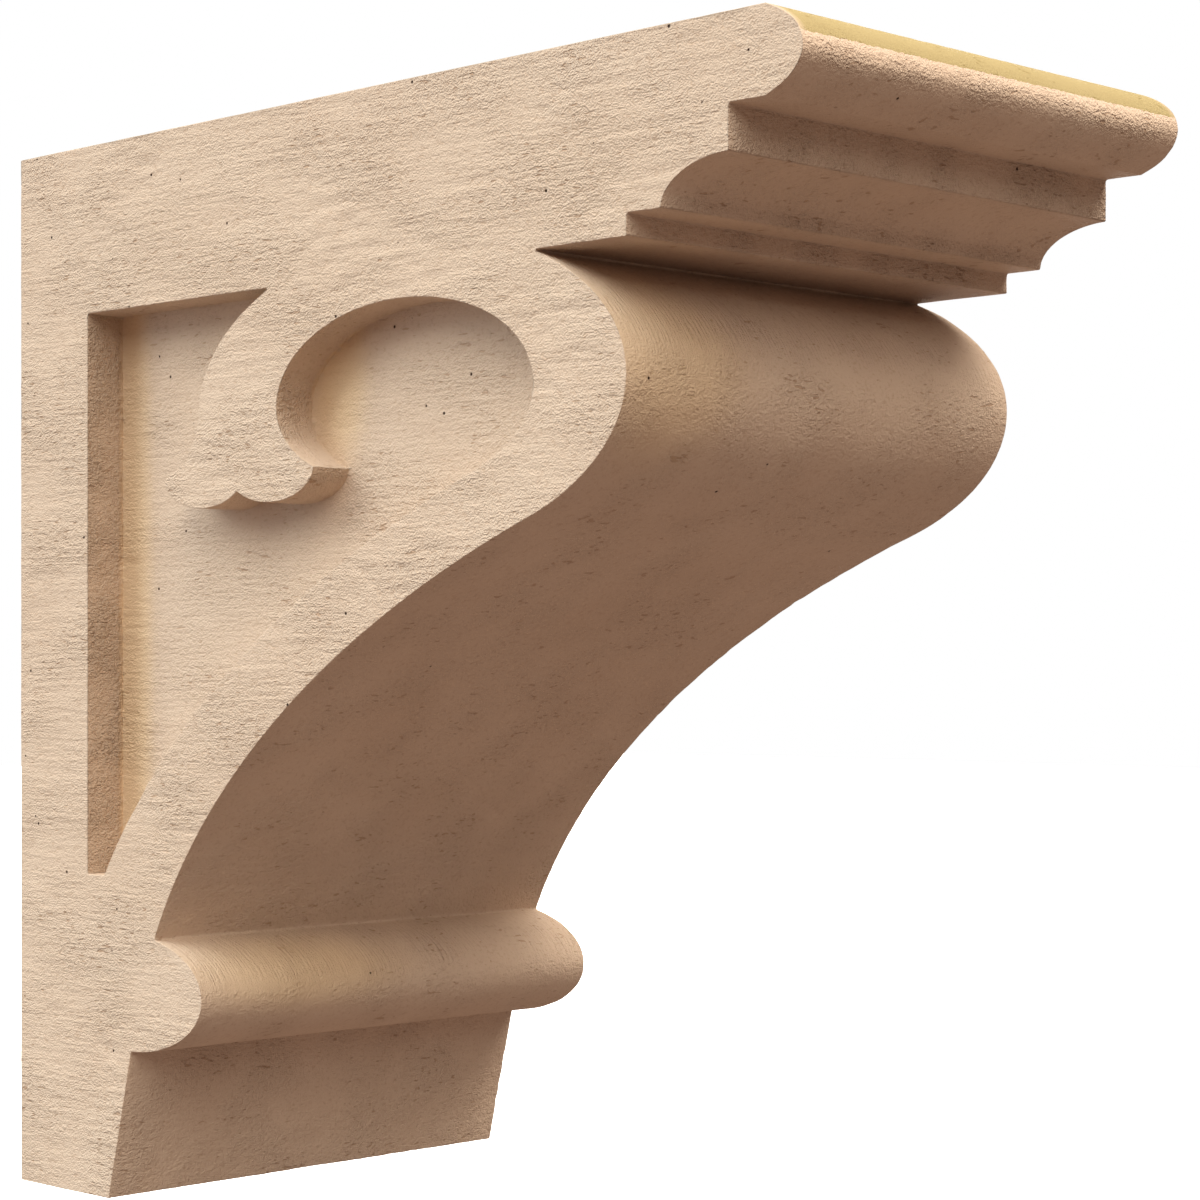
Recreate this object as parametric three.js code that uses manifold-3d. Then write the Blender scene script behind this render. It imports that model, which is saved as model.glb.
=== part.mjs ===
// A bracket cast in one piece: a stepped crown over a long roll, a hollow arch, a bead and a foot,
// with a sunk panel and a raised scroll on each side.
// Millimetres, +Z up. The flat back is the plane Y = 0 with the origin at its centre,
// the bracket reaches out from the wall towards -Y, and X runs across its front.

import * as THREE from "three";
import { mergeVertices } from "three/addons/utils/BufferGeometryUtils.js";
import Module from "manifold-3d";

// Overall sizes
const width = 152.4;
const projection = 304.8;
const height = 304.8;

// Every large curve is a circle drawn out this many times in depth, heights unchanged.
const curveStretch = 1.972;

// Crown, from the top down
const noseHeight = 21.5; // rounded edge at the top front
const noseBulge = 11.5; // its tip in front of its corners
const upperFilletSetback = 22.5; // behind the tip of the nose
const upperFilletHeight = 11.1;
const coveDepth = 21.4;
const coveHeight = 10.8;
const lowerFilletSetback = 11.1; // behind the foot of the cove
const lowerFilletHeight = 5.5;

// Roll and arch, with radii as heights
const rollRadius = 41.2;
const rollSunk = 8.6; // top of the roll that is lost in the crown
const archRadius = 196.4;
const archLanding = 12; // in front of the bead's centre, where the arch meets the bead

// Bead and foot
const beadRadius = 17;
const beadCentreDepth = 53.4;
const footHeight = 43.2;
const footTopDepth = 54.6;
const footBottomDepth = 43.9;

// Sunk panel on each side
const recessDepth = 12.7;
const recessBackMargin = 33.7; // plain border along the wall
const recessToeWidth = 7.9; // short flat at the foot of the panel
const rimWidth = 16.2; // border left along the roll and the arch, as a height

// Scroll, raised in the panel: it leaves the crown, turns down and ends in a flare with two lobes.
// The drops are heights below the roll's centre.
const scrollStep = 1; // its outer edge stands this much outside the roll's curve
const flareReach = 7.8; // each corner outside the scroll's side, before the stretch
const innerCornerDrop = 16.4;
const outerCornerDrop = 17.2;
const cuspDrop = 22; // point between the lobes

// Largest gap between a facet and its true curve
const flatness = 0.035;

const colour = 0xdcc2a2;
const roughness = 0.85;

// The outlines are drawn as seen from the -X side: x is the depth from the wall,
// y the height above the foot.
const point = (depth, z) => new THREE.Vector2(depth, z);

// Points of a stretched circle's arc, both ends included, in an even number of facets.
// Angles in radians, 0 forward and a quarter turn up.
function arc(centre, radius, from, to, stretch = curveStretch) {
  const reach = radius * stretch;
  const step = 2 * Math.acos(1 - flatness / Math.max(reach, radius));
  const count = 2 * Math.ceil(Math.abs(to - from) / step / 2);
  const curve = new THREE.EllipseCurve(centre.x, centre.y, reach, radius, from, to, to < from);
  return curve.getPoints(count);
}

// Angle on a stretched circle at which it passes a height, on its forward side.
const angleAtHeight = (centre, radius, z) => Math.asin((z - centre.y) / radius);

// Radius of an arc that starts upright and ends this far across and this far up or down, before the stretch.
const uprightRadius = (across, upright) => (across ** 2 + upright ** 2) / (2 * across);

// Joins runs of points and drops the ones that repeat at their ends.
function outline(...runs) {
  const points = runs.flat();
  return points.filter((p, i) => p.distanceTo(points.at(i - 1)) > 1e-6);
}

// Heights and depths that the members share
const crownFoot = height - noseHeight - upperFilletHeight - coveHeight - lowerFilletHeight;
const upperFilletFace = projection - upperFilletSetback;
const coveFootDepth = upperFilletFace - coveDepth;
const lowerFilletFace = coveFootDepth - lowerFilletSetback;

// The roll comes as far forward as the crown's lower fillet.
const rollCentre = point(lowerFilletFace - rollRadius * curveStretch, crownFoot - rollRadius + rollSunk);
const beadCentre = point(beadCentreDepth, footHeight + beadRadius);

// The arch starts on the bead and runs into the roll without a break: seen unstretched, its centre is
// archRadius from its landing and archRadius + rollRadius from the roll's centre.
const archFootAngle = Math.acos(archLanding / (beadRadius * curveStretch));
const archFoot = point(beadCentre.x + archLanding, beadCentre.y + beadRadius * Math.sin(archFootAngle));

function findArchCentre() {
  const low = point(archFoot.x / curveStretch, archFoot.y);
  const high = point(rollCentre.x / curveStretch, rollCentre.y);
  const span = low.distanceTo(high);
  const along = (span ** 2 + archRadius ** 2 - (archRadius + rollRadius) ** 2) / (2 * span);
  const aside = Math.sqrt(archRadius ** 2 - along ** 2);
  const direction = high.clone().sub(low).divideScalar(span);
  return point(
    (low.x + direction.x * along + direction.y * aside) * curveStretch,
    low.y + direction.y * along - direction.x * aside,
  );
}

const archCentre = findArchCentre();

// Direction from the roll's centre to the arch's, where their curves touch.
const touchAngle = Math.atan2(archCentre.y - rollCentre.y, (archCentre.x - rollCentre.x) / curveStretch);

// The bracket seen from the side, anticlockwise from the foot of its back.
function profile() {
  const noseAcross = noseBulge / curveStretch;
  const noseRadius = uprightRadius(noseAcross, noseHeight / 2);
  const noseCentre = point(projection - noseRadius * curveStretch, height - noseHeight / 2);
  const noseTurn = Math.atan2(noseHeight / 2, noseRadius - noseAcross);
  const coveTop = height - noseHeight - upperFilletHeight;
  const coveCentre = point(upperFilletFace, coveTop - coveHeight);
  const beadStart = -Math.acos((footTopDepth - beadCentreDepth) / (beadRadius * curveStretch));
  const archFootTurn = Math.atan2(archFoot.y - archCentre.y, (archFoot.x - archCentre.x) / curveStretch);
  return outline(
    [point(0, 0), point(footBottomDepth, 0)],
    arc(beadCentre, beadRadius, beadStart, archFootAngle),
    arc(archCentre, archRadius, archFootTurn, touchAngle + Math.PI),
    arc(rollCentre, rollRadius, touchAngle, angleAtHeight(rollCentre, rollRadius, crownFoot)),
    [point(lowerFilletFace, crownFoot), point(lowerFilletFace, coveCentre.y)],
    arc(coveCentre, coveHeight, Math.PI, Math.PI / 2, coveDepth / coveHeight),
    [point(upperFilletFace, height - noseHeight)],
    arc(noseCentre, noseRadius, -noseTurn, noseTurn),
    [point(0, height)],
  );
}

// The sunk panel, anticlockwise from its toe: up the rim, round the eye of the scroll and its end,
// over the scroll's back and round the border.
function panel() {
  const eyeRadius = rollRadius - rimWidth;
  const scrollRadius = rollRadius + scrollStep;
  const rimRadius = archRadius + rimWidth;

  const toeDepth = recessBackMargin + recessToeWidth;
  const toeTurn = Math.PI - Math.acos((archCentre.x - toeDepth) / curveStretch / rimRadius);
  const toeHeight = archCentre.y + rimRadius * Math.sin(toeTurn);

  // Upright sides of the scroll, level with the roll's centre
  const outerSide = rollCentre.x - scrollRadius * curveStretch;
  const innerSide = rollCentre.x - eyeRadius * curveStretch;
  const middle = (outerSide + innerSide) / 2;
  const halfTip = (scrollRadius - eyeRadius) / 2 + flareReach;

  // On either side of the middle, a flare runs down from the scroll's side to a corner,
  // and a lobe hangs from that corner and comes up to the cusp.
  function flare(side, cornerDrop) {
    const radius = uprightRadius(flareReach, cornerDrop);
    const turn = Math.atan2(cornerDrop, radius - flareReach);
    const start = side < 0 ? outerSide : innerSide;
    const centre = point(start + side * radius * curveStretch, rollCentre.y);
    return side < 0 ? arc(centre, radius, -turn, 0) : arc(centre, radius, Math.PI, Math.PI + turn);
  }
  function lobe(side, cornerDrop) {
    const rise = cuspDrop - cornerDrop;
    const radius = uprightRadius(halfTip, rise);
    const turn = Math.atan2(rise, radius - halfTip);
    const centre = point(middle + side * (halfTip - radius) * curveStretch, rollCentre.y - cornerDrop);
    return side < 0 ? arc(centre, radius, turn - Math.PI, -Math.PI) : arc(centre, radius, 0, -turn);
  }

  return outline(
    [point(recessBackMargin, toeHeight)],
    arc(archCentre, rimRadius, toeTurn, touchAngle + Math.PI),
    arc(rollCentre, eyeRadius, touchAngle, Math.PI),
    flare(1, innerCornerDrop),
    lobe(1, innerCornerDrop),
    lobe(-1, outerCornerDrop),
    flare(-1, outerCornerDrop),
    arc(rollCentre, scrollRadius, Math.PI, Math.PI - angleAtHeight(rollCentre, scrollRadius, crownFoot)),
    [point(recessBackMargin, crownFoot)],
  );
}

const wasm = await Module();
wasm.setup();

// Turns a drawn outline to stand on the wall: depth to -Y, height to +Z, and the drawing's own +Z to -X.
const standing = new THREE.Matrix4()
  .makeBasis(new THREE.Vector3(0, -1, 0), new THREE.Vector3(0, 0, 1), new THREE.Vector3(-1, 0, 0))
  .setPosition(0, 0, -height / 2);

// A solid of one outline between two places across the width.
function prism(points, left, right) {
  const geometry = new THREE.ExtrudeGeometry(new THREE.Shape(points), {
    depth: right - left,
    bevelEnabled: false,
  });
  geometry.translate(0, 0, -right).applyMatrix4(standing);
  geometry.deleteAttribute("normal");
  geometry.deleteAttribute("uv");
  const merged = mergeVertices(geometry, 1e-4);
  return new wasm.Manifold(
    new wasm.Mesh({
      numProp: 3,
      vertProperties: merged.attributes.position.array,
      triVerts: new Uint32Array(merged.index.array),
    }),
  );
}

function toGeometry(solid) {
  const { vertProperties, triVerts } = solid.getMesh();
  const geometry = new THREE.BufferGeometry();
  geometry.setAttribute("position", new THREE.BufferAttribute(vertProperties, 3));
  geometry.setIndex(new THREE.BufferAttribute(triVerts, 1));
  geometry.computeVertexNormals();
  return geometry;
}

function makeCorbel() {
  const side = width / 2;
  const recess = panel();
  const solid = prism(profile(), -side, side)
    .subtract(prism(recess, -side - recessDepth, -side + recessDepth))
    .subtract(prism(recess, side - recessDepth, side + recessDepth));
  const mesh = new THREE.Mesh(
    toGeometry(solid),
    new THREE.MeshStandardMaterial({ color: colour, roughness, metalness: 0, flatShading: true }),
  );
  mesh.name = "corbel";
  return mesh;
}

const bracket = new THREE.Group();
bracket.add(makeCorbel());

export default bracket;
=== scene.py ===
import math

import bpy
import numpy as np
from mathutils.geometry import delaunay_2d_cdt
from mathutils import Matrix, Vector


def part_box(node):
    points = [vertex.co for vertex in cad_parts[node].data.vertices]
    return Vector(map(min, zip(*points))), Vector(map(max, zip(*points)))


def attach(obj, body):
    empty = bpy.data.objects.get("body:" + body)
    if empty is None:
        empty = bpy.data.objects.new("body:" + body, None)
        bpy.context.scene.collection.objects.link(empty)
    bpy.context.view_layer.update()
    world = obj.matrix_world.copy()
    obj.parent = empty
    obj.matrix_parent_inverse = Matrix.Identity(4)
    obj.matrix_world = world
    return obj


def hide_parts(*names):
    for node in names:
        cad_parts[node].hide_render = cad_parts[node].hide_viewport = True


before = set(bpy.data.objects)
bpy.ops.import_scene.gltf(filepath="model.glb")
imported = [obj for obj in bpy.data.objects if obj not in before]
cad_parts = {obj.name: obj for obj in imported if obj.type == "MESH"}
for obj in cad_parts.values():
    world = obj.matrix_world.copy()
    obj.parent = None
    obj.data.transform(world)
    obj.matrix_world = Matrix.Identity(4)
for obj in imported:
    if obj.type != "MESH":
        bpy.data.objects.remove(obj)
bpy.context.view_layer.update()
print("frame loaded")

# Sizes of the casting, drawn as seen from its -X side: depth from the wall, height above the foot.
lowCorner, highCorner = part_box("corbel")
casting = {
    "width": highCorner.x - lowCorner.x,
    "projection": -lowCorner.y,
    "height": highCorner.z - lowCorner.z,
    "curveStretch": 1.972,  # every large curve is a circle drawn out this much in depth
    "noseHeight": 0.0215,
    "noseBulge": 0.0115,
    "upperFilletSetback": 0.0225,
    "upperFilletHeight": 0.0111,
    "coveDepth": 0.0214,
    "coveHeight": 0.0108,
    "lowerFilletSetback": 0.0111,
    "lowerFilletHeight": 0.0055,
    "rollRadius": 0.0412,
    "rollSunk": 0.0086,
    "archRadius": 0.1964,
    "archLanding": 0.012,
    "beadRadius": 0.017,
    "beadCentreDepth": 0.0534,
    "footHeight": 0.0432,
    "footTopDepth": 0.0546,
    "footBottomDepth": 0.0439,
    "recessDepth": 0.0127,
    "recessBackMargin": 0.0337,
    "recessToeWidth": 0.0079,
    "rimWidth": 0.0162,
    "scrollStep": 0.001,
    "flareReach": 0.0078,
    "innerCornerDrop": 0.0164,
    "outerCornerDrop": 0.0172,
    "cuspDrop": 0.022,
}

# How finely the surface is cut, and how far a mould softens its edges.
meshing = {
    "along": 0.0017,
    "hidden": 0.004,  # along the top and the back
    "across": 0.0023,
    "down": 0.0016,  # down the panels' walls
    "sides": 0.00095,  # between the rows of places on the sides and the panels' floors
    "grainReach": 2.2,  # how much farther apart places are along those rows
    "borderGap": 0.62,  # share of the rows' spacing that places keep clear of the border
    "edgeRound": 0.00035,
    "cornerRound": 0.0006,
    "cornerSteps": 3,
    "cornerShare": 0.3,  # the most of a run's length that a corner takes
    "smoothTurn": 0.03,  # radians, below which two runs meet without a corner
    "leastCosine": 0.6,  # keeps the offset at a sharp corner short
    "curvePoints": 600,  # that an arc is drawn through before it is cut into even steps
    "weldSteps": 1e7,  # in a metre, and points in the same step become one
    "sharpTurn": 50,  # degrees between faces, above which their edge is sharp
    "blocks": 40,  # that long lists of points are worked through in, to save memory
}


# A place in the drawing.
def spot(depth, height):
    return np.array([depth, height])


# Stretched circle: centre + radius * (stretch * cos(turn), sin(turn)), 0 forward, a quarter turn up.
def arc(centre, radius, start, end, stretch=casting["curveStretch"]):
    turn = np.linspace(start, end, meshing["curvePoints"])
    depths = centre[0] + stretch * radius * np.cos(turn)
    return np.column_stack([depths, centre[1] + radius * np.sin(turn)])


# Straight run between two places.
def line(start, end):
    return np.array([start, end])


# Radius of an arc that starts upright and ends this far across and this far up or down: the sum of the
# two squares over twice the distance across.
def uprightRadius(across, upright):
    return (across**2 + upright**2) / (2 * across)


# Where the members meet: the crown's heights and depths, and the centres of the roll, bead and arch.
def setOut(c):
    stretch = c["curveStretch"]
    coveFoot = c["height"] - c["noseHeight"] - c["upperFilletHeight"] - c["coveHeight"]
    crownFoot = coveFoot - c["lowerFilletHeight"]
    upperFace = c["projection"] - c["upperFilletSetback"]
    lowerFace = upperFace - c["coveDepth"] - c["lowerFilletSetback"]
    roll = spot(lowerFace - c["rollRadius"] * stretch, crownFoot - c["rollRadius"] + c["rollSunk"])
    bead = spot(c["beadCentreDepth"], c["footHeight"] + c["beadRadius"])
    beadEnd = math.acos(c["archLanding"] / (c["beadRadius"] * stretch))
    archFoot = spot(bead[0] + c["archLanding"], bead[1] + c["beadRadius"] * math.sin(beadEnd))

    # Seen unstretched, the arch's centre is its radius from its foot, and both radii from the roll's.
    low = archFoot / (stretch, 1)
    high = roll / (stretch, 1)
    span = np.linalg.norm(high - low)
    along = (span**2 + c["archRadius"] ** 2 - (c["archRadius"] + c["rollRadius"]) ** 2) / (2 * span)
    aside = math.sqrt(c["archRadius"] ** 2 - along**2)
    step = (high - low) / span
    arch = (low + step * along + spot(step[1], -step[0]) * aside) * (stretch, 1)
    return {
        "crownFoot": crownFoot,
        "coveFoot": coveFoot,
        "upperFace": upperFace,
        "lowerFace": lowerFace,
        "roll": roll,
        "bead": bead,
        "beadEnd": beadEnd,
        "arch": arch,
        "archFoot": archFoot,
        "touch": math.atan2(arch[1] - roll[1], (arch[0] - roll[0]) / stretch),
    }


# The whole outline in smooth runs, anticlockwise from the foot of the back, each with its own spacing.
def profileRuns(c, p):
    stretch = c["curveStretch"]
    beadStart = -math.acos((c["footTopDepth"] - c["beadCentreDepth"]) / (c["beadRadius"] * stretch))
    beadRun = arc(p["bead"], c["beadRadius"], beadStart, p["beadEnd"])
    fromArch = p["archFoot"] - p["arch"]
    archStart = math.atan2(fromArch[1], fromArch[0] / stretch)
    rollEnd = math.asin((p["crownFoot"] - p["roll"][1]) / c["rollRadius"])
    rollRun = arc(p["roll"], c["rollRadius"], p["touch"], rollEnd)
    coveCentre = spot(p["upperFace"], p["coveFoot"])
    coveRun = arc(coveCentre, c["coveHeight"], math.pi, math.pi / 2, c["coveDepth"] / c["coveHeight"])

    noseAcross = c["noseBulge"] / stretch
    noseRadius = uprightRadius(noseAcross, c["noseHeight"] / 2)
    nose = spot(c["projection"] - noseRadius * stretch, c["height"] - c["noseHeight"] / 2)
    noseTurn = math.atan2(c["noseHeight"] / 2, noseRadius - noseAcross)
    noseDepth = c["projection"] - c["noseBulge"]
    noseFoot = c["height"] - c["noseHeight"]

    backFoot = spot(0, 0)
    toe = spot(c["footBottomDepth"], 0)
    lowerFilletFoot = spot(p["lowerFace"], p["crownFoot"])
    lowerFilletTop = spot(p["lowerFace"], p["coveFoot"])
    upperFilletTop = spot(p["upperFace"], noseFoot)
    noseTop = spot(noseDepth, c["height"])
    backTop = spot(0, c["height"])
    seen = [
        line(backFoot, toe),
        line(toe, beadRun[0]),
        beadRun,
        arc(p["arch"], c["archRadius"], archStart, p["touch"] + math.pi),
        rollRun,
        line(rollRun[-1], lowerFilletFoot),
        line(lowerFilletFoot, lowerFilletTop),
        line(lowerFilletTop, coveRun[0]),
        coveRun,
        line(coveRun[-1], upperFilletTop),
        line(upperFilletTop, spot(noseDepth, noseFoot)),
        arc(nose, noseRadius, -noseTurn, noseTurn),
    ]
    hidden = [line(noseTop, backTop), line(backTop, backFoot)]
    return [(run, meshing["along"]) for run in seen] + [(run, meshing["hidden"]) for run in hidden]


# The sunk panel in smooth runs, anticlockwise from its toe: the rim, the eye, the scroll's flared end and
# its back, and the border.
def panelRuns(c, p):
    stretch = c["curveStretch"]
    roll = p["roll"]
    eyeRadius = c["rollRadius"] - c["rimWidth"]
    scrollRadius = c["rollRadius"] + c["scrollStep"]
    rimRadius = c["archRadius"] + c["rimWidth"]
    toeDepth = c["recessBackMargin"] + c["recessToeWidth"]
    toeTurn = math.pi - math.acos((p["arch"][0] - toeDepth) / stretch / rimRadius)
    outerSide = roll[0] - scrollRadius * stretch
    innerSide = roll[0] - eyeRadius * stretch
    middle = (outerSide + innerSide) / 2
    halfTip = (scrollRadius - eyeRadius) / 2 + c["flareReach"]

    # A flare joins the scroll's side to a corner, and a lobe joins the corner to the cusp. Both are drawn
    # the other way round on side -1, which is the outer one.
    def flare(side, drop):
        radius = uprightRadius(c["flareReach"], drop)
        turn = math.atan2(drop, radius - c["flareReach"])
        start = outerSide if side < 0 else innerSide
        ends = (-turn, 0) if side < 0 else (math.pi, math.pi + turn)
        return arc(spot(start + side * radius * stretch, roll[1]), radius, *ends)

    def lobe(side, drop):
        rise = c["cuspDrop"] - drop
        radius = uprightRadius(halfTip, rise)
        turn = math.atan2(rise, radius - halfTip)
        centre = spot(middle + side * (halfTip - radius) * stretch, roll[1] - drop)
        ends = (turn - math.pi, -math.pi) if side < 0 else (0, -turn)
        return arc(centre, radius, *ends)

    rimRun = arc(p["arch"], rimRadius, toeTurn, p["touch"] + math.pi)
    backEnd = math.pi - math.asin((p["crownFoot"] - roll[1]) / scrollRadius)
    backRun = arc(roll, scrollRadius, math.pi, backEnd)
    topCorner = spot(c["recessBackMargin"], p["crownFoot"])
    toeCorner = spot(c["recessBackMargin"], rimRun[0][1])
    runs = [
        line(toeCorner, rimRun[0]),
        rimRun,
        arc(roll, eyeRadius, p["touch"], math.pi),
        flare(1, c["innerCornerDrop"]),
        lobe(1, c["innerCornerDrop"]),
        lobe(-1, c["outerCornerDrop"]),
        flare(-1, c["outerCornerDrop"]),
        backRun,
        line(backRun[-1], topCorner),
        line(topCorner, toeCorner),
    ]
    return [(run, meshing["along"]) for run in runs]


# Places at these distances along a run, each on the straight between the run's two points round it.
def placesAlong(run, lengths, distances):
    return np.stack([np.interp(distances, lengths, run[:, k]) for k in (0, 1)], axis=-1)


# One closed line through all runs in even steps. Each corner becomes a short curve, drawn as the blend
# (1-s)^2 a + 2 s (1-s) corner + s^2 b between the two points where the runs are cut off.
def joinRuns(runs):
    count = len(runs)
    radius = meshing["cornerRound"]
    lengths = []
    for run, _ in runs:
        steps = np.linalg.norm(np.diff(run, axis=0), axis=1)
        lengths.append(np.concatenate([[0], np.cumsum(steps)]))
    cuts = []
    for i in range(count):
        after = (i + 1) % count
        leaving = runs[i][0][-1] - runs[i][0][-2]
        entering = runs[after][0][1] - runs[after][0][0]
        cosine = leaving @ entering / np.linalg.norm(leaving) / np.linalg.norm(entering)
        turn = math.acos(min(1, max(-1, cosine)))
        longest = meshing["cornerShare"] * min(lengths[i][-1], lengths[after][-1])
        cut = min(radius * math.tan(turn / 2), 2 * radius, longest)
        cuts.append(0 if turn < meshing["smoothTurn"] else cut)
    pieces = []
    for i, (run, spacing) in enumerate(runs):
        after = (i + 1) % count
        first = cuts[i - 1]
        last = lengths[i][-1] - cuts[i]
        distances = np.linspace(first, last, max(1, round((last - first) / spacing)) + 1)
        even = placesAlong(run, lengths[i], distances)
        pieces.append(even[1:] if first == 0 else even)
        if cuts[i] > 0:
            landing = placesAlong(runs[after][0], lengths[after], cuts[i])
            s = np.linspace(0, 1, meshing["cornerSteps"] + 1)[1:-1, None]
            pieces.append((1 - s) ** 2 * even[-1] + 2 * s * (1 - s) * run[-1] + s**2 * landing)
    return np.concatenate(pieces)


# Outward offsets of a closed line: the mean direction of the two neighbouring edges' normals, lengthened
# at a corner by one over the cosine of half its turn.
def outwards(loop):
    edge = np.roll(loop, -1, axis=0) - loop
    normal = np.column_stack([edge[:, 1], -edge[:, 0]]) / np.linalg.norm(edge, axis=1)[:, None]
    both = normal + np.roll(normal, 1, axis=0)
    both /= np.linalg.norm(both, axis=1)[:, None]
    return both / np.maximum(meshing["leastCosine"], np.sum(both * normal, axis=1))[:, None]


# A closed line carried across the width. Each row gives its place across, and how far the line is let
# out there along its outward offsets.
def carry(loop, rows):
    shifted = loop[None] + rows[:, 1, None, None] * outwards(loop)[None]
    across = np.broadcast_to(rows[:, 0, None], shifted.shape[:2])
    return np.stack([across, -shifted[..., 0], shifted[..., 1] - casting["height"] / 2], axis=-1)


# Two triangles for each cell of a grid whose rows are closed lines, cut along alternating diagonals.
def gridTriangles(rows, columns):
    row, column = np.meshgrid(np.arange(rows - 1), np.arange(columns), indexing="ij")
    a = row * columns + column
    b = row * columns + (column + 1) % columns
    c = a + columns
    d = b + columns
    odd = ((row + column) % 2 == 1)[..., None]
    one = np.where(odd, np.stack([a, b, c], -1), np.stack([a, b, d], -1))
    two = np.where(odd, np.stack([b, d, c], -1), np.stack([a, d, c], -1))
    return np.concatenate([one.reshape(-1, 3), two.reshape(-1, 3)])


# Whether points lie inside the first closed line and outside the others: a ray to the side then crosses
# the lines an odd number of times.
def inside(points, loops):
    start = np.concatenate(loops)
    after = np.concatenate([np.roll(loop, -1, axis=0) for loop in loops])
    rise = after[:, 1] - start[:, 1]
    slope = (after[:, 0] - start[:, 0]) / np.where(rise == 0, 1, rise)
    odd = []
    for block in np.array_split(points, meshing["blocks"]):
        x, y = block[:, :1], block[:, 1:]
        spans = (start[:, 1] > y) != (after[:, 1] > y)
        crossed = spans & (x < start[:, 0] + (y - start[:, 1]) * slope)
        odd.append(np.count_nonzero(crossed, axis=1) % 2 == 1)
    return np.concatenate(odd)


# A flat face between closed lines, filled with places in staggered rows and joined by triangulation.
# It is done with depths drawn in, so that the triangles come out longer along the grain than across it.
def fillFlat(loops):
    spacing = meshing["sides"]
    squeeze = np.array([1 / meshing["grainReach"], 1])
    drawn = [loop * squeeze for loop in loops]
    low, high = drawn[0].min(axis=0), drawn[0].max(axis=0)
    rows = round((high[1] - low[1]) / spacing)
    depths = np.arange(low[0] + spacing / 2, high[0], spacing)
    number, depth = np.meshgrid(np.arange(rows), depths, indexing="ij")
    height = low[1] + (number + 0.5) * (high[1] - low[1]) / rows
    grid = np.stack([depth + number % 2 * spacing / 2, height], axis=-1).reshape(-1, 2)
    grid = grid[inside(grid, drawn)]
    border = np.concatenate(drawn)
    gaps = []
    for block in np.array_split(grid, meshing["blocks"]):
        squares = ((block[:, None] - border[None]) ** 2).sum(axis=-1)
        gaps.append(np.sqrt(squares).min(axis=1))
    clear = np.concatenate(gaps) > meshing["borderGap"] * spacing
    points = np.concatenate([border, grid[clear]])
    edges = []
    for loop in loops:
        number = np.arange(len(loop))
        edges += (np.stack([number, (number + 1) % len(loop)], axis=1) + len(edges)).tolist()
    inMillimetres = (points * 1000).tolist()
    found = delaunay_2d_cdt(inMillimetres, edges, [], 0, 1e-6, True)
    origin = np.array([ids[0] for ids in found[3]])
    triangles = origin[np.array(found[2])]
    return points / squeeze, triangles[inside(points[triangles].mean(axis=1), drawn)]


# Rows round an edge of the casting, from flush with the side, over the middle of the quarter round, to
# square with it, and the rows beyond.
def edgeRows(start, end, spacing):
    radius = meshing["edgeRound"]
    eased = radius * (1 - math.sqrt(0.5))
    between = np.linspace(start + radius, end, max(2, round((end - start) / spacing)) + 1)
    turned = np.array([[start, -radius], [start + eased, -eased]])
    return np.concatenate([turned, np.column_stack([between, np.zeros_like(between)])])


# A flat filling stood up at a place across the width.
def standUp(points, across):
    levels = points[:, 1] - casting["height"] / 2
    return np.column_stack([np.full(len(points), across), -points[:, 0], levels])


# All surfaces as one closed mesh: points that coincide become one, and keep the first one's way.
def weld(parts):
    offsets = np.cumsum([0] + [len(points) for points, _ in parts[:-1]])
    points = np.concatenate([points for points, _ in parts])
    triangles = np.concatenate([triangles + offset for (_, triangles), offset in zip(parts, offsets)])
    keys = np.round(points[:, :3] * meshing["weldSteps"]).astype(np.int64)
    _, first, inverse = np.unique(keys, axis=0, return_index=True, return_inverse=True)
    return points[first], inverse.reshape(-1)[triangles]


# The casting's smooth surface: the outline carried across, both sides, and a sunk panel in each.
# A fourth column holds the way along the outline, 0 off it.
def castSurface():
    c = casting
    places = setOut(c)
    profile = joinRuns(profileRuns(c, places))
    panel = joinRuns(panelRuns(c, places))
    side = c["width"] / 2
    left = edgeRows(-side, 0, meshing["across"])
    rows = np.concatenate([left, left[-2::-1] * (-1, 1)])
    body = carry(profile, rows)
    step = np.linalg.norm(np.diff(profile, axis=0), axis=1)
    way = np.broadcast_to(np.concatenate([[0], np.cumsum(step)]), body.shape[:2])
    body = np.concatenate([body, way[..., None]], axis=-1)
    parts = [(body.reshape(-1, 4), gridTriangles(len(rows), len(profile))[:, ::-1])]

    # The left side's surfaces, each followed by its mirror image on the right
    walls = edgeRows(-side, c["recessDepth"] - side, meshing["down"]) * (1, -1)
    wall = carry(panel, walls)
    lip = profile + outwards(profile) * rows[0, 1]
    mouth = panel + outwards(panel) * walls[0, 1]
    face, faceTriangles = fillFlat([lip, mouth])
    floor, floorTriangles = fillFlat([panel])
    for points, triangles in (
        (wall.reshape(-1, 3), gridTriangles(len(walls), len(panel))),
        (standUp(face, -side), faceTriangles),
        (standUp(floor, c["recessDepth"] - side), floorTriangles),
    ):
        placed = np.column_stack([points, np.zeros(len(points))])
        parts.append((placed, triangles))
        parts.append((placed * (-1, 1, 1, 1), triangles[:, ::-1]))
    return weld(parts)


# Normals of the points: the sum of the cross products of the triangles that meet there.
def pointNormals(points, triangles):
    a, b, c = (points[triangles[:, k]] for k in range(3))
    cross = np.repeat(np.cross(b - a, c - a), 3, axis=0)
    corners = triangles.ravel()
    normals = np.stack([np.bincount(corners, cross[:, k], len(points)) for k in range(3)], axis=-1)
    return normals / np.linalg.norm(normals, axis=1)[:, None]


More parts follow.
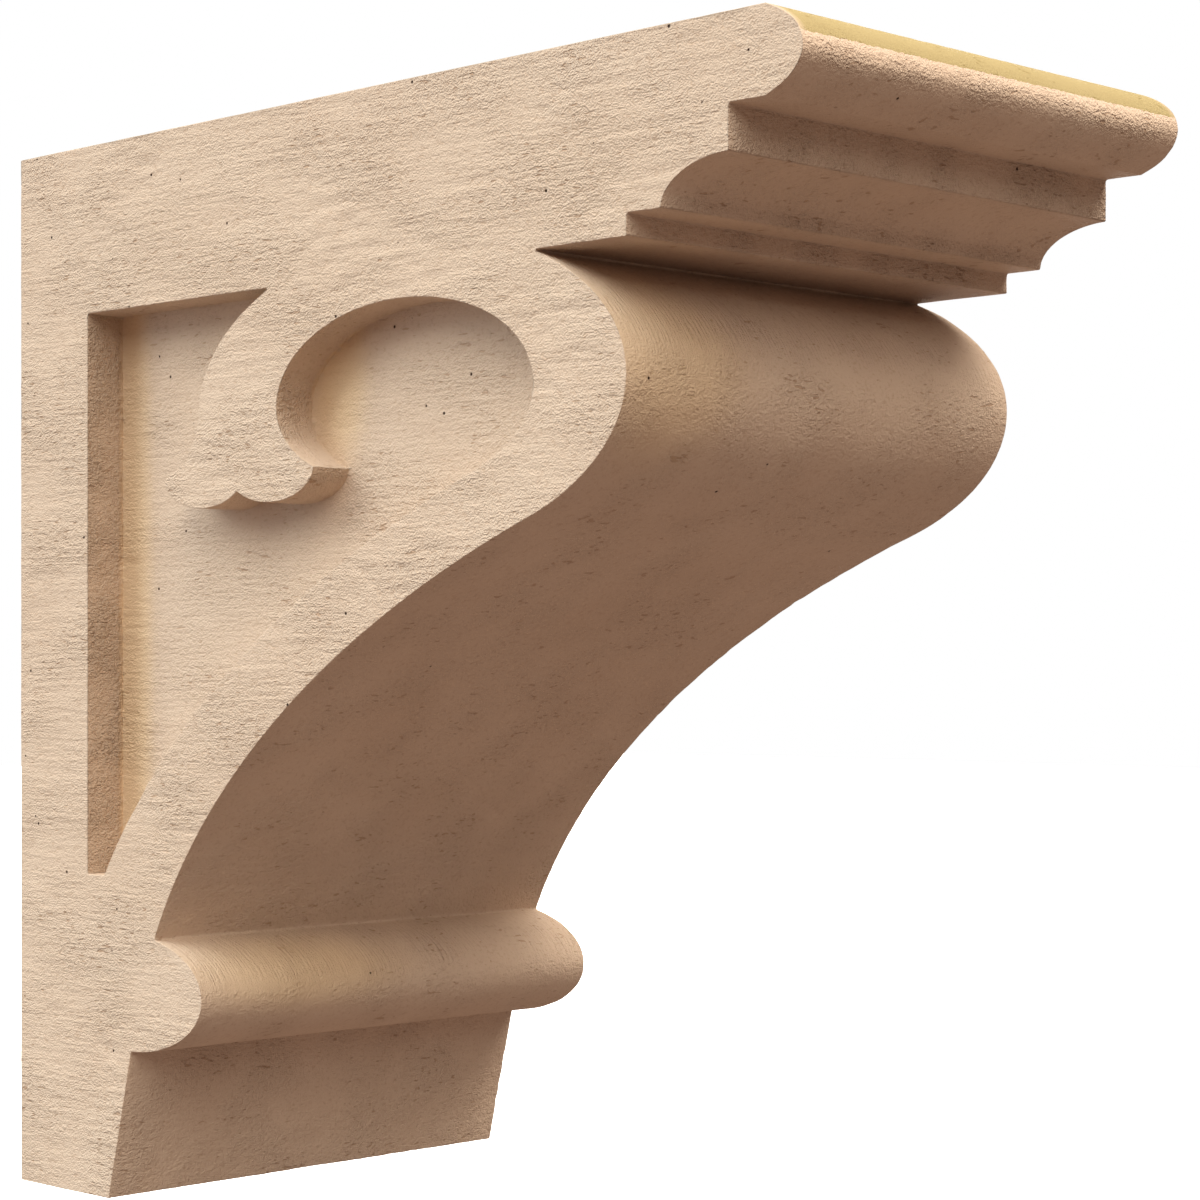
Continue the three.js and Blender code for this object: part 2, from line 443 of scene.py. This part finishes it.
# Rough-sawn relief, cut into the surface: ridges along the grain, unevenness, and patches of torn fibre.
# A size is the distance between a random field's values, along X, Y and Z where there are three.
relief = {
    "latticeSize": 64,  # values along each side of a random field, before it repeats
    "wanderSize": 0.021,  # the ridges and tears wander aside
    "wander": 0.0016,
    "ridgeSize": (0.0021, 0.021, 0.0016),
    "ridgeDepth": 0.00030,
    "fineRidges": (1.7, 2.1, 1.7),  # times as many, and half as deep
    "fineRidgeShare": 0.5,
    "ridgePatch": 0.019,
    "ridgePatchRamp": (-0.5, 0.5),
    "swellSize": 0.013,
    "swellDepth": 0.00009,
    "tearSize": (0.0026, 0.0065, 0.0024),
    "tearRamp": (0.05, 0.55),
    "tearPatch": 0.027,
    "tearPatchRamp": (-0.05, 0.45),
    "tearDepth": 0.00022,
}

# How rough each place is, as a share of what the sides have, and where one place gives way to the next.
# The relief takes no more than all of it, and the material's bump takes more.
roughness = {
    "floor": 0.85,  # the sunk panels' floors are smoother
    "front": 0.9,
    "crown": 1.6,
    "foot": 1.1,
    "strawTop": 0.4,
    "under": 0.9,
    "wall": 2.2,  # the panels' walls that face forward are pebbly
    "back": 0.1,  # the back is poured flat
    "floorFrom": 0.6,  # share of the panel's depth
    "crownBottom": (0.052, 0.048),  # below the top
    "crownTop": (0.014, 0.008),
    "footBlend": 0.002,  # above and below the foot's top
    "footMiddle": (0.052, 0.072),  # from the middle of the width
    "strawTopBlend": (-0.0005, 0.001),  # above the line where the straw-coloured top begins
}

# How much of a point's normal has to lie along a direction before the point counts as facing that way:
# not at all up to the first number, and in full from the second.
facing = {
    "side": (0.7, 0.9),
    "front": (0.6, 0.9),
    "frontWall": (0.6, 1.0),
    "under": (0.3, 0.7),
    "back": (0.7, 0.95),
    "strawTopBack": (0.75, 0.95),  # where the straw-coloured top ends
    "wallSide": (0.3, 0.7),  # where a panel's wall ends at its edges
    "top": (0.1, 0.6),  # where the fibres are combed along the outline
    "topSide": (0.3, 0.6),
}


# Smooth random field from -1 to 1: random values on a cubic lattice, eased between its corners by
# 6 e^5 - 15 e^4 + 10 e^3.
def lattice(points, seed):
    size = relief["latticeSize"]
    values = np.random.default_rng(seed).random((size, size, size)) * 2 - 1
    base = np.floor(points).astype(int)
    ease = points - base
    ease = ease**3 * (ease * (ease * 6 - 15) + 10)
    total = np.zeros(len(points))
    for corner in np.ndindex(2, 2, 2):
        at = (base + corner) % size
        weight = np.where(corner, ease, 1 - ease).prod(axis=1)
        total += weight * values[at[:, 0], at[:, 1], at[:, 2]]
    return total


# Rises smoothly from 0 at low to 1 at high, as s^2 (3 - 2 s) of the share s of the way between them.
def rampUp(value, low, high):
    share = np.clip((value - low) / (high - low), 0, 1)
    return share * share * (3 - 2 * share)


# How rough each point is. Off the sides it starts at 1, and each place in turn draws it to its own share
# by as much as the point belongs to it: rough + (share - rough) * belonging.
def sawnShare(points, normals, frontWalls):
    r = roughness
    height = casting["height"]
    depth = casting["recessDepth"]
    across = np.abs(points[:, 0])
    level = points[:, 2] + height / 2
    strawTopAbove = sawnUrethane["strawTopAbove"]
    sunk = rampUp(casting["width"] / 2 - across, r["floorFrom"] * depth, depth)
    crown = rampUp(level, *(height - below for below in r["crownBottom"]))
    crown *= 1 - rampUp(level, *(height - below for below in r["crownTop"]))
    footTop = casting["footHeight"]
    foot = 1 - rampUp(level, footTop - r["footBlend"], footTop + r["footBlend"])
    foot *= 1 - rampUp(across, *r["footMiddle"])
    places = {
        "front": rampUp(-normals[:, 1], *facing["front"]),
        "crown": crown,
        "foot": foot,
        "strawTop": rampUp(points[:, 2], *(strawTopAbove + above for above in r["strawTopBlend"])),
        "under": rampUp(-normals[:, 2], *facing["under"]),
        "wall": frontWalls,
    }
    rough = np.ones(len(points))
    for name, belonging in places.items():
        rough += (r[name] - rough) * belonging
    side = 1 - (1 - r["floor"]) * sunk
    upright = rampUp(np.abs(normals[:, 0]), *facing["side"])
    share = upright * side + (1 - upright) * rough
    return share * (1 - (1 - r["back"]) * rampUp(normals[:, 1], *facing["back"]))


# Depth cut away: the sum of ridges, swell and torn patches, each a smooth random field of its own size
# brought to between 0 and its full depth.
def sawnDepth(points):
    r = relief
    aside = [lattice(points / r["wanderSize"], seed) for seed in (11, 12, 13)]
    wandered = points + r["wander"] * np.column_stack(aside)
    ridges = lattice(wandered / r["ridgeSize"], 1)
    ridges += r["fineRidgeShare"] * lattice(wandered / r["ridgeSize"] * r["fineRidges"], 2)
    swell = lattice(points / r["swellSize"], 3)
    torn = rampUp(lattice(wandered / r["tearSize"], 4), *r["tearRamp"])
    torn *= rampUp(lattice(points / r["tearPatch"], 5), *r["tearPatchRamp"])
    patches = 0.5 + 0.5 * rampUp(lattice(points / r["ridgePatch"], 6), *r["ridgePatchRamp"])
    most = 1 + r["fineRidgeShare"]
    depth = r["ridgeDepth"] * (0.5 + ridges / (2 * most)) * patches
    return depth + r["swellDepth"] * (0.5 + 0.5 * swell) + r["tearDepth"] * torn


# Warm straw-coloured patches: centre, reach along X, Y and Z, and strength.
strawPatches = [
    ((-0.0635, -0.0385, 0.000), (0.0030, 0.0090, 0.150), 0.78),
    ((-0.0635, -0.1300, 0.080), (0.0030, 0.0120, 0.023), 0.80),
    ((0.0635, -0.0385, 0.000), (0.0030, 0.0090, 0.150), 0.78),
    ((0.0635, -0.1300, 0.080), (0.0030, 0.0120, 0.023), 0.80),
    ((-0.0600, -0.2450, 0.076), (0.0260, 0.0300, 0.024), 0.55),
    ((-0.0380, -0.0760, -0.087), (0.0400, 0.0220, 0.010), 0.70),
]


# The strongest patch at each point: its strength * exp(-(distance / reach)^4), none on the outer faces
# or the panels' walls.
def strawShare(points, walls):
    total = np.zeros(len(points))
    for centre, reach, strength in strawPatches:
        away = (((points - centre) / reach) ** 2).sum(axis=1)
        total = np.maximum(total, strength * np.exp(-(away**2)))
    inwards = casting["width"] / 2 - np.abs(points[:, 0])
    return total * (1 - walls) * (inwards > meshing["edgeRound"] / 2)


# The casting: its smooth surface, moved inwards along the normals by the relief's depth times its share.
# The mesh keeps what the material needs to know of each point: shares, and its way along the outline.
def makeCasting():
    placed, triangles = castSurface()
    points = placed[:, :3]
    normals = pointNormals(points, triangles)
    turned = np.abs(normals[:, 0])
    inwards = casting["width"] / 2 - np.abs(points[:, 0])
    front = rampUp(inwards - meshing["edgeRound"] / 2, 0, meshing["edgeRound"])
    front *= 1 - rampUp(normals[:, 1], *facing["strawTopBack"])
    walls = (placed[:, 3] == 0) * (1 - rampUp(turned, *facing["wallSide"]))
    frontWalls = walls * rampUp(-normals[:, 1], *facing["frontWall"])
    sawn = sawnShare(points, normals, frontWalls)
    combed = rampUp(normals[:, 2], *facing["top"]) * (1 - rampUp(turned, *facing["topSide"]))
    few = sawnUrethane["pinholeFew"]
    holed = few + (1 - few) * rampUp(turned, *facing["side"])
    shaped = points - normals * (np.minimum(sawn, 1) * sawnDepth(points))[:, None]
    mesh = bpy.data.meshes.new("corbelCasting")
    mesh.from_pydata(shaped, [], triangles)
    mesh.polygons.foreach_set("use_smooth", np.ones(len(triangles), bool))
    shares = {
        "straw": strawShare(points, walls),
        # Painted shade on the panels' walls that face forward
        "wallPaintedShade": sawnUrethane["paintedWallShade"] * frontWalls,
        "front": front,
        "sawn": sawn,
        "combed": combed,
        "way": placed[:, 3],
        "holed": sawnUrethane["pinholeShare"] * holed,
    }
    for name, values in shares.items():
        mesh.attributes.new(name, "FLOAT", "POINT").data.foreach_set("value", values.astype(np.float32))
    mesh.set_sharp_from_angle(angle=math.radians(meshing["sharpTurn"]))
    mesh.update()
    piece = bpy.data.objects.new("corbelCasting", mesh)
    bpy.context.scene.collection.objects.link(piece)
    even = piece.modifiers.new("evenShading", "WEIGHTED_NORMAL")
    even.keep_sharp = True
    print(f"casting: {len(triangles)} triangles")
    return piece


# Hex colours are sRGB, and the shaders take linear light: v / 12.92 near black, and elsewhere
# ((v + 0.055) / 1.055)^2.4.
def toLinear(hexColour):
    shares = [int(hexColour[k : k + 2], 16) / 255 for k in (1, 3, 5)]
    return [v / 12.92 if v <= 0.04045 else ((v + 0.055) / 1.055) ** 2.4 for v in shares] + [1]


# Adds a node. Inputs are values, or the outputs to link, by name or number, or in order from the first.
# Settings are the node's own properties.
def addNode(tree, kind, inputs=(), **settings):
    added = tree.nodes.new(kind)
    for name, value in settings.items():
        setattr(added, name, value)
    for key, value in inputs.items() if isinstance(inputs, dict) else enumerate(inputs):
        if isinstance(value, bpy.types.NodeSocket):
            tree.links.new(value, added.inputs[key])
        else:
            added.inputs[key].default_value = value
    return added


# Moulded polyurethane foam skin with a thin matt tan coat, cast off rough-sawn timber: chalky, no gloss,
# fibres along the grain, fine grit, a few pinholes from trapped air with painted shade in them, and a
# straw-coloured top.
sawnUrethane = {
    "coat": "#cfb8a2",
    "coatShade": "#b3957c",  # darker tone in blotches, and painted shade in hollows, notches and on the panels' walls that face forward
    "straw": "#dec19a",
    # The straw-coloured top along the front edge, and a darker colour for its blotches and the painted
    # shade in its notches
    "strawTop": "#a29065",
    "strawTopShade": "#8a7748",
    # Painted shade inside the pinholes
    "pinhole": "#3a2418",
    "roughness": 0.85,
    "ior": 1.5,
    "specular": 0.25,
    # The size of each random field along X, Y and Z, and how much finer detail it has. The fibres' sizes
    # are across the width and along the outline, and their third isn't used.
    "fields": {
        "ridge": ((0.0022, 0.013, 0.0013), 1.0),
        "pebble": ((0.0012, 0.0019, 0.0010), 3.0),
        "grit": ((0.0005, 0.0006, 0.0005), 1.0),
        "mottle": ((0.03, 0.05, 0.03), 3.0),
        "patch": ((0.018, 0.03, 0.018), 1.0),
        "notch": ((0.0028, 0.0042, 0.0009), 1.0),
        "fibre": ((0.0008, 0.014, 1.0), 2.0),
    },
    # The bump's depth for a height of 1, and how high each field stands in it. Where the patch field goes
    # through its range, all of it grows from the first patchHeight to the second.
    "bumpDepth": 0.00042,
    "ridgeHeight": 0.9,
    "fibreHeight": 1.8,
    "gritHeight": 1.1,
    "notchHeight": -0.4,
    "patchRange": (0.35, 0.65),
    "patchHeight": (0.65, 1.35),
    # A notch deepens as its field goes through notchRange. The patch field goes through notchPatch to move
    # that field from notchEager lower to notchEager higher, so most notches lie in the rougher patches.
    "notchRange": (0.69, 0.75),
    "notchPatch": (0.4, 0.65),
    "notchEager": 0.05,
    # Shares of coatShade that notches, blotches and hollows reach, and the fields' ranges that bring them.
    # In blotches it is the coat's own darker tone; in notches and hollows it is painted shade.
    "notchShade": 0.9,
    "mottleShade": 0.18,
    "mottleRange": (0.35, 0.7),
    "hollowShade": 0.45,
    "hollowRange": (0.46, 0.3),
    "paintedWallShade": 0.35,  # painted shade on the panels' walls that face forward
    "strawTopAbove": 0.1447,  # Z of the line above which the front edge is straw-coloured
    "ragged": 0.0012,  # how far the pebbles move that line
    "pinholeCell": 0.009,
    "pinholeRadius": 0.0005,
    "pinholeSoft": 0.6,  # share of the radius that is dark all over
    "pinholeShare": 0.6,  # share of the cells that has a pinhole, on the sides
    "pinholeFew": 0.15,  # and elsewhere, as a share of that share
    "pinholeWeights": (13.1, 17.3, 19.7),  # by which a cell's colour channels are summed
}


def makeSawnUrethane():
    m = sawnUrethane
    material = bpy.data.materials.new("sawnUrethane")
    material.use_nodes = True
    tree = material.node_tree
    tree.nodes.clear()
    place = addNode(tree, "ShaderNodeTexCoord").outputs["Object"]
    axes = addNode(tree, "ShaderNodeSeparateXYZ", [place]).outputs
    shares = {}
    for name in ("straw", "wallPaintedShade", "front", "sawn", "combed", "way", "holed"):
        shares[name] = addNode(tree, "ShaderNodeAttribute", attribute_name=name).outputs["Fac"]

    # Ridges, pebbled skin, grit, broad mottling, rougher patches and short notches, drawn out along the
    # grain, and fibres combed along the outline, by the place across and the way along it
    comb = addNode(tree, "ShaderNodeCombineXYZ", [axes["X"], shares["way"]]).outputs[0]
    fields = {}
    for name, (size, detail) in m["fields"].items():
        space = comb if name == "fibre" else place
        scale = [1 / length for length in size]
        stretched = addNode(tree, "ShaderNodeMapping", {"Vector": space, "Scale": scale}).outputs[0]
        inputs = {"Vector": stretched, "Scale": 1.0, "Detail": detail}
        fields[name] = addNode(tree, "ShaderNodeTexNoise", inputs).outputs[0]

    # Pinholes: a round dot in a few of the cells of a cell pattern, dipped in the bump and coloured with
    # the painted shade inside the hole. A cell's colour tells where its middle is, so the chance is a
    # fraction of a weighted sum of its channels, which no flat face shares.
    scale = [1 / m["pinholeCell"]] * 3
    cellSpace = addNode(tree, "ShaderNodeMapping", {"Vector": place, "Scale": scale}).outputs[0]
    cells = addNode(tree, "ShaderNodeTexVoronoi", {"Vector": cellSpace, "Scale": 1.0}).outputs
    inputs = [cells["Color"], m["pinholeWeights"]]
    weighed = addNode(tree, "ShaderNodeVectorMath", inputs, operation="DOT_PRODUCT").outputs["Value"]
    chance = addNode(tree, "ShaderNodeMath", [weighed], operation="FRACT").outputs[0]
    few = addNode(tree, "ShaderNodeMath", [chance, shares["holed"]], operation="LESS_THAN").outputs[0]
    radius = m["pinholeRadius"] / m["pinholeCell"]
    inputs = [cells["Distance"], radius * m["pinholeSoft"], radius, 1.0, 0.0]
    dot = addNode(tree, "ShaderNodeMapRange", inputs).outputs[0]
    pinhole = addNode(tree, "ShaderNodeMath", [dot, few], operation="MULTIPLY").outputs[0]

    # Notches: short torn marks where the notch field is high, mostly in the rougher patches, dented a
    # little in the bump and coloured with painted shade
    inputs = [fields["patch"], *m["notchPatch"], -m["notchEager"], m["notchEager"]]
    eager = addNode(tree, "ShaderNodeMapRange", inputs, interpolation_type="SMOOTHSTEP").outputs[0]
    field = addNode(tree, "ShaderNodeMath", [fields["notch"], eager], operation="ADD").outputs[0]
    inputs = [field, *m["notchRange"], 0.0, m["notchShade"]]
    notch = addNode(tree, "ShaderNodeMapRange", inputs).outputs[0]

    # Fine relief: ridges and pebbles, or combed fibres, then grit less the notches, times how rough the
    # patch and the mould are there, less the pinholes
    inputs = [fields["ridge"], m["ridgeHeight"], fields["pebble"]]
    pebbled = addNode(tree, "ShaderNodeMath", inputs, operation="MULTIPLY_ADD").outputs[0]
    inputs = [fields["fibre"], m["fibreHeight"]]
    fibres = addNode(tree, "ShaderNodeMath", inputs, operation="MULTIPLY").outputs[0]
    height = addNode(tree, "ShaderNodeMix", {0: shares["combed"], 2: pebbled, 3: fibres}).outputs[0]
    for field, weight in ((fields["grit"], m["gritHeight"]), (notch, m["notchHeight"])):
        inputs = [field, weight, height]
        height = addNode(tree, "ShaderNodeMath", inputs, operation="MULTIPLY_ADD").outputs[0]
    inputs = [fields["patch"], *m["patchRange"], *m["patchHeight"]]
    patchy = addNode(tree, "ShaderNodeMapRange", inputs).outputs[0]
    for factor in (patchy, shares["sawn"]):
        height = addNode(tree, "ShaderNodeMath", [height, factor], operation="MULTIPLY").outputs[0]
    height = addNode(tree, "ShaderNodeMath", [height, pinhole], operation="SUBTRACT").outputs[0]
    inputs = {"Height": height, "Distance": m["bumpDepth"], "Strength": 1.0}
    bump = addNode(tree, "ShaderNodeBump", inputs).outputs[0]

    # How much darker the coat is in mottled areas, its own tone, then the painted shade in the fine
    # hollows, in the notches and on the panels' walls that face forward
    inputs = [fields["mottle"], *m["mottleRange"], 0.0, m["mottleShade"]]
    blotch = addNode(tree, "ShaderNodeMapRange", inputs).outputs[0]
    inputs = [fields["pebble"], *m["hollowRange"], 0.0, m["hollowShade"]]
    hollow = addNode(tree, "ShaderNodeMapRange", inputs).outputs[0]
    hollowAndNotchShade = addNode(tree, "ShaderNodeMath", [hollow, notch], operation="MAXIMUM").outputs[0]
    rough = addNode(tree, "ShaderNodeMath", [shares["sawn"], 1.0], operation="MINIMUM").outputs[0]
    inputs = [hollowAndNotchShade, rough, shares["wallPaintedShade"]]
    shade = addNode(tree, "ShaderNodeMath", inputs, operation="MULTIPLY_ADD", use_clamp=True).outputs[0]

    # The straw-coloured top, darker in blotches and with painted shade in the notches, ends in a line that
    # the pebbles make a little ragged
    inputs = [fields["pebble"], m["ragged"], axes["Z"]]
    level = addNode(tree, "ShaderNodeMath", inputs, operation="MULTIPLY_ADD").outputs[0]
    inputs = [level, m["strawTopAbove"] + m["ragged"] / 2]
    above = addNode(tree, "ShaderNodeMath", inputs, operation="GREATER_THAN").outputs[0]
    strawTopShare = addNode(tree, "ShaderNodeMath", [above, shares["front"]], operation="MULTIPLY").outputs[0]
    darker = addNode(tree, "ShaderNodeMath", [notch, blotch], operation="MAXIMUM").outputs[0]
    inputs = {0: darker, 6: toLinear(m["strawTop"]), 7: toLinear(m["strawTopShade"])}
    strawTop = addNode(tree, "ShaderNodeMix", inputs, data_type="RGBA").outputs[2]

    # Colour: the coat, with each of the others laid over it by its share: the blotches' own tone, painted
    # shade, the straw patches, the straw-coloured top and the pinholes' painted shade
    colour = toLinear(m["coat"])
    for share, over in (
        (blotch, toLinear(m["coatShade"])),
        (shade, toLinear(m["coatShade"])),
        (shares["straw"], toLinear(m["straw"])),
        (strawTopShare, strawTop),
        (pinhole, toLinear(m["pinhole"])),
    ):
        inputs = {0: share, 6: colour, 7: over}
        colour = addNode(tree, "ShaderNodeMix", inputs, data_type="RGBA").outputs[2]
    inputs = {
        "Base Color": colour,
        "Roughness": m["roughness"],
        "IOR": m["ior"],
        "Specular IOR Level": m["specular"],
        "Normal": bump,
    }
    shader = addNode(tree, "ShaderNodeBsdfPrincipled", inputs).outputs[0]
    addNode(tree, "ShaderNodeOutputMaterial", {"Surface": shader})
    return material


corbel = makeCasting()
corbel.data.materials.append(makeSawnUrethane())
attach(corbel, "root")
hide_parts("corbel")
print("casting finished")

# Camera level with the bracket's middle, off its front left corner, with the picture moved as in the photo.
photoView = {
    "place": (-0.5831, -0.7320, 0.0),
    "turn": -45,
    "focalLength": 87.95,
    "sensorWidth": 36,
    "shift": (0.0392, 0.0585),
}


def makeCamera():
    data = bpy.data.cameras.new("photoView")
    data.lens = photoView["focalLength"]
    data.sensor_width = photoView["sensorWidth"]
    data.shift_x, data.shift_y = photoView["shift"]
    camera = bpy.data.objects.new("photoView", data)
    camera.location = photoView["place"]
    camera.rotation_euler = (math.radians(90), 0, math.radians(photoView["turn"]))
    bpy.context.scene.collection.objects.link(camera)
    bpy.context.scene.camera = camera


# Soft studio light: wide lamps, and an even fill from all round. Each lamp is given by where it shines
# from, as an angle about Z that starts at +X and an angle up, in degrees, then by its strength and colour.
studio = {
    "floorLevel": -1.2,
    "floorSize": 60,
    "paperWhite": 0.9,
    "paperGlow": 0.8,
    "fill": (0.308, 0.226, 0.191),
    "softness": 40,
    "lamps": {
        "topRight": (315, 62, 2.28, (1.0, 0.945, 0.845)),
        "topFront": (270, 62, 2.33, (1.0, 0.92, 0.795)),
        "left": (135, 35, 2.12, (0.9, 1.0, 1.0)),
        "leftFront": (225, 35, 1.5, (1.0, 0.97, 0.87)),
        "leftTop": (180, 62, 1.05, (0.78, 0.91, 1.0)),
        "leftLow": (135, 5, 0.81, (0.73, 0.9, 1.0)),
        "below": (0, -90, 0.26, (1.0, 0.71, 0.485)),
        "behind": (45, 5, 1.8, (1.0, 0.97, 0.94)),
    },
}


def makeStudio():
    scene = bpy.context.scene
    scene.view_settings.view_transform = "Standard"
    for name, (around, up, strength, colour) in studio["lamps"].items():
        data = bpy.data.lights.new(name, "SUN")
        data.energy = strength
        data.angle = math.radians(studio["softness"])
        data.color = colour
        lamp = bpy.data.objects.new(name, data)
        lamp.rotation_euler = (math.radians(90 - up), 0, math.radians(around + 90))
        scene.collection.objects.link(lamp)

    # The backdrop is white to the camera, and the light it gives is the fill's.
    world = bpy.data.worlds.new("studio")
    scene.world = world
    world.use_nodes = True
    tree = world.node_tree
    tree.nodes.clear()
    fill = addNode(tree, "ShaderNodeBackground", {"Color": (*studio["fill"], 1)}).outputs[0]
    white = addNode(tree, "ShaderNodeBackground", {"Color": (1, 1, 1, 1)}).outputs[0]
    seen = addNode(tree, "ShaderNodeLightPath").outputs["Is Camera Ray"]
    mixed = addNode(tree, "ShaderNodeMixShader", [seen, fill, white]).outputs[0]
    addNode(tree, "ShaderNodeOutputWorld", {"Surface": mixed})

    half = studio["floorSize"] / 2
    level = studio["floorLevel"]
    corners = [(-half, -half, level), (half, -half, level), (half, half, level), (-half, half, level)]
    mesh = bpy.data.meshes.new("studioFloor")
    mesh.from_pydata(corners, [], [(0, 1, 2, 3)])
    floor = bpy.data.objects.new("studioFloor", mesh)
    scene.collection.objects.link(floor)
    paper = bpy.data.materials.new("whitePaper")
    paper.use_nodes = True
    shader = paper.node_tree.nodes["Principled BSDF"]
    shader.inputs["Base Color"].default_value = (*[studio["paperWhite"]] * 3, 1)
    shader.inputs["Emission Color"].default_value = (1, 1, 1, 1)
    shader.inputs["Emission Strength"].default_value = studio["paperGlow"]
    mesh.materials.append(paper)
    floor.visible_diffuse = False
    floor.visible_glossy = False
    floor.visible_shadow = False


makeCamera()
makeStudio()
print("studio set up")
